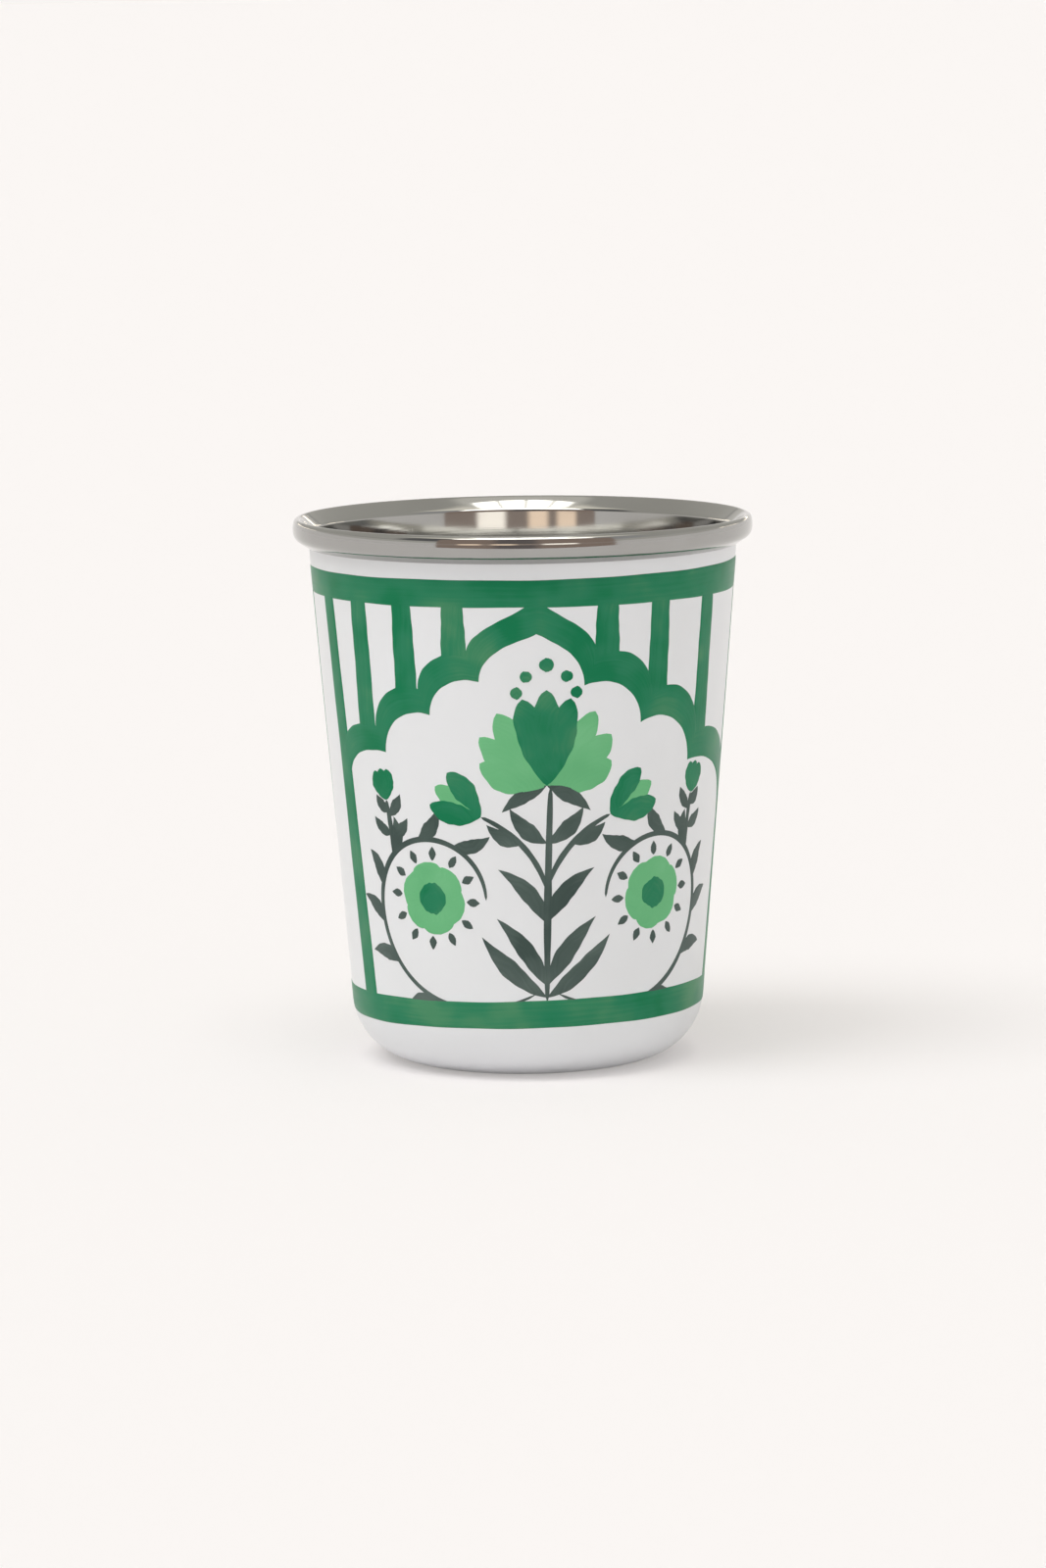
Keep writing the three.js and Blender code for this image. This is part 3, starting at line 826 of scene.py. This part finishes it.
right = Vector((math.cos(CAMERA_AZIMUTH), math.sin(CAMERA_AZIMUTH), 0))
level_forward = Vector((-math.sin(CAMERA_AZIMUTH), math.cos(CAMERA_AZIMUTH), 0))
forward = level_forward * math.cos(CAMERA_ELEVATION) - Vector((0, 0, math.sin(CAMERA_ELEVATION)))
up = right.cross(forward)
rolled_right = right * math.cos(CAMERA_ROLL) - up * math.sin(CAMERA_ROLL)
rolled_up = right * math.sin(CAMERA_ROLL) + up * math.cos(CAMERA_ROLL)
eye = right * CAMERA_AIM_ASIDE + Vector((0, 0, CAMERA_AIM_HEIGHT)) - forward * CAMERA_DISTANCE

camera_data = bpy.data.cameras.new("camera")
camera_data.sensor_width = SENSOR
camera_data.lens = SENSOR * FOCAL_PIXELS / IMAGE_HEIGHT
camera_data.clip_start = CLIP_START
camera_data.clip_end = CLIP_END
camera = placed("camera", camera_data)
turned = Matrix((rolled_right, rolled_up, -forward)).transposed()
camera.matrix_world = Matrix.Translation(eye) @ turned.to_4x4()
bpy.context.scene.camera = camera
bpy.context.scene.view_settings.view_transform = "Standard"

# Sun and tent
# A wide soft sun from the left, and round the cup a grey tent that the steel mirrors, with a pale
# ceiling, a barred lamp in it and low windows behind. Levels and places aside are in radians.
SUN_ENERGY = 1.1
SUN_WIDTH = math.radians(30)
SUN_WAY = Vector((0.46, 0.22, -0.84))
TENT = (0.2, 0.2, 0.2, 1)
TENT_SOFT = 0.2
LEVEL_SOFT = 0.05
BRIGHT_WALL = (0.56, 0.56, 0.56, 1)
BRIGHT_ASIDE = (-0.6, 2.0)
BRIGHT_LEVEL = (0.15, 1.15)
CEILING = (0.63, 0.616, 0.57, 1)
CEILING_EDGE = (1.1, 1.2)
BACK_ASIDE = (-2.0, 2.0)
BACK_SOFT = 0.1
BACK_EDGE = (0.24, 0.3)
ZENITH = (1, 0.975, 0.9, 1)
ZENITH_EDGE = (1.22, 1.3)
HIGH_FRONT = (1.4, 1.34, 1.18, 1)
HIGH_FRONT_ASIDE = (-1.3, 1.3)
HIGH_FRONT_LEVEL = (0.8, 1.25)
LOW_STRIP = (0.72, 0.7, 0.655, 1)
LOW_STRIP_EDGE = (0.24, 0.28)
WINDOW = (4.5, 4.0, 3.3, 1)
WINDOWS = ((-0.9, -0.33), (0.13, 0.5), (0.7, 1.07))
WINDOW_SOFT = 0.04
WINDOW_LEVEL = (0.172, 0.192)
WINDOW_LEVEL_SOFT = 0.004
LOW_WALL = (0.95, 0.92, 0.895, 1)
LOW_WALL_EDGE = (0.14, 0.15)
CEILING_LAMP = (4.2, 4.1, 3.85, 1)
LAMP_WIDTH = (-0.26, 0.26)
LAMP_DEPTH = (-0.46, -0.05)
LAMP_SOFT = 0.01
LAMP_EDGE = (0.5, 0.6)
BAR_SHIFT = 0.02
BAR_PITCH = 0.07
BAR_EDGE = (0.004, 0.012)


def between(value, limits, soft):
    """One between two limits and nought outside them, with soft edges."""
    low, high = limits
    return value.ramp(low - soft, low + soft) * (1 - value.ramp(high - soft, high + soft))


sun_data = bpy.data.lights.new("key_light", "SUN")
sun_data.energy = SUN_ENERGY
sun_data.angle = SUN_WIDTH
sun = placed("key_light", sun_data)
sun.rotation_euler = SUN_WAY.to_track_quat("-Z", "Y").to_euler()
sun.visible_glossy = False

world = bpy.data.worlds.new("room")
bpy.context.scene.world = world
world.use_nodes = True
sky = Socket(world.node_tree)
facing = {"Vector": sky.node("TexCoord", {}, {}, "Generated"), "Angle": -CAMERA_AZIMUTH}
way = sky.node("VectorRotate", {"rotation_type": "Z_AXIS"}, facing)
level = sky.maths("ARCSINE", way.part(2))
from_front = sky.maths("ARCTAN2", way.part(0), way.part(1) * -1)
from_back = sky.maths("ARCTAN2", way.part(0), way.part(1))
bright = between(from_front, BRIGHT_ASIDE, TENT_SOFT) * between(level, BRIGHT_LEVEL, LEVEL_SOFT)
upper_back = between(from_back, BACK_ASIDE, BACK_SOFT) * level.ramp(*BACK_EDGE)
overhead = sky.maths("MAXIMUM", level.ramp(*CEILING_EDGE), upper_back)
walls = overhead.mix(bright.mix(TENT, BRIGHT_WALL), CEILING)
walls = level.ramp(*ZENITH_EDGE).mix(walls, ZENITH)
high_front = between(from_front, HIGH_FRONT_ASIDE, TENT_SOFT)
high_front = high_front * between(level, HIGH_FRONT_LEVEL, LEVEL_SOFT)
mirrored = sky.node("LightPath", {}, {}, "Is Glossy Ray")
walls = (high_front * mirrored).mix(walls, HIGH_FRONT)
walls = level.ramp(*LOW_STRIP_EDGE).mix(LOW_STRIP, walls)
panes = sum(between(from_back, sides, WINDOW_SOFT) for sides in WINDOWS)
walls = (between(level, WINDOW_LEVEL, WINDOW_LEVEL_SOFT) * panes).mix(walls, WINDOW)
walls = level.ramp(*LOW_WALL_EDGE).mix(LOW_WALL, walls)
bars = sky.maths("PINGPONG", way.part(0) + BAR_SHIFT, BAR_PITCH).ramp(*BAR_EDGE)
lamp = between(way.part(0), LAMP_WIDTH, LAMP_SOFT) * between(way.part(1), LAMP_DEPTH, LAMP_SOFT)
lamp = lamp * level.ramp(*LAMP_EDGE)
background = world.node_tree.nodes["Background"]
feed(background, Color=(lamp * bars).mix(walls, CEILING_LAMP), Strength=1.0)

# Open front
# The tent is open where the camera looks in. A card that only mirrors see stands for the room there:
# brown, darker in the middle, with a strip of windows. A lamp over it draws the bright line on the roll.
FRONT_DISTANCE = 500 * MM
FRONT_CARD = ((-455 * MM, 510 * MM), (0, 450 * MM))
FRONT_BROWN = (0.44, 0.34, 0.29, 1)
FRONT_DARK = (0.23, 0.2, 0.195, 1)
FRONT_DARK_SIDES = (-120 * MM, 60 * MM)
FRONT_DARK_SOFT = 30 * MM
FRONT_STRIP = (0.5, 0.41, 0.36, 1)
FRONT_STRIP_HEIGHTS = (118 * MM, 162 * MM)
FRONT_STRIP_SOFT = 1 * MM
FRONT_WINDOW = (2.3, 2.15, 1.95, 1)
FRONT_WINDOWS = ((-301 * MM, -184 * MM), (-131 * MM, -32 * MM), (86 * MM, 245 * MM))
FRONT_WINDOW_SOFT = 20 * MM
FRONT_LAMPLIGHT = (1.9, 1.5, 1.15, 1)
FRONT_LAMPLIGHT_EDGE = (-10 * MM, 10 * MM)
FRONT_LAMP = (4.6, 4.5, 4.3, 1)
FRONT_LAMP_CARD = ((-400 * MM, 410 * MM), (520 * MM, 860 * MM))
UNSEEN_BY = ("camera", "diffuse", "shadow", "transmission", "volume_scatter")

corners = []
for (near, far), (low, high) in (FRONT_CARD, FRONT_LAMP_CARD):
    for aside, height in ((near, low), (far, low), (far, high), (near, high)):
        corners.append(right * aside - level_forward * FRONT_DISTANCE + Vector((0, 0, height)))
front_material, graph = new_material("open_front")[:2]
place = graph.node("TexCoord", {}, {}, "Object")
aside = place.part(0) * right.x + place.part(1) * right.y
brown = between(aside, FRONT_DARK_SIDES, FRONT_DARK_SOFT).mix(FRONT_BROWN, FRONT_DARK)
panes = sum(between(aside, sides, FRONT_WINDOW_SOFT) for sides in FRONT_WINDOWS)
pane_light = aside.ramp(*FRONT_LAMPLIGHT_EDGE).mix(FRONT_LAMPLIGHT, FRONT_WINDOW)
strip = between(place.part(2), FRONT_STRIP_HEIGHTS, FRONT_STRIP_SOFT)
front = strip.mix(brown, panes.mix(FRONT_STRIP, pane_light))
front = place.part(2).ramp(FRONT_CARD[1][1], FRONT_LAMP_CARD[1][0]).mix(front, FRONT_LAMP)
front_glow = graph.node("Emission", {}, {"Color": front, "Strength": 1.0})
feed(graph.tree.nodes["Material Output"], Surface=front_glow)
open_front = flat_card("open_front", corners, front_material)
for kind in UNSEEN_BY:
    setattr(open_front, "visible_" + kind, False)
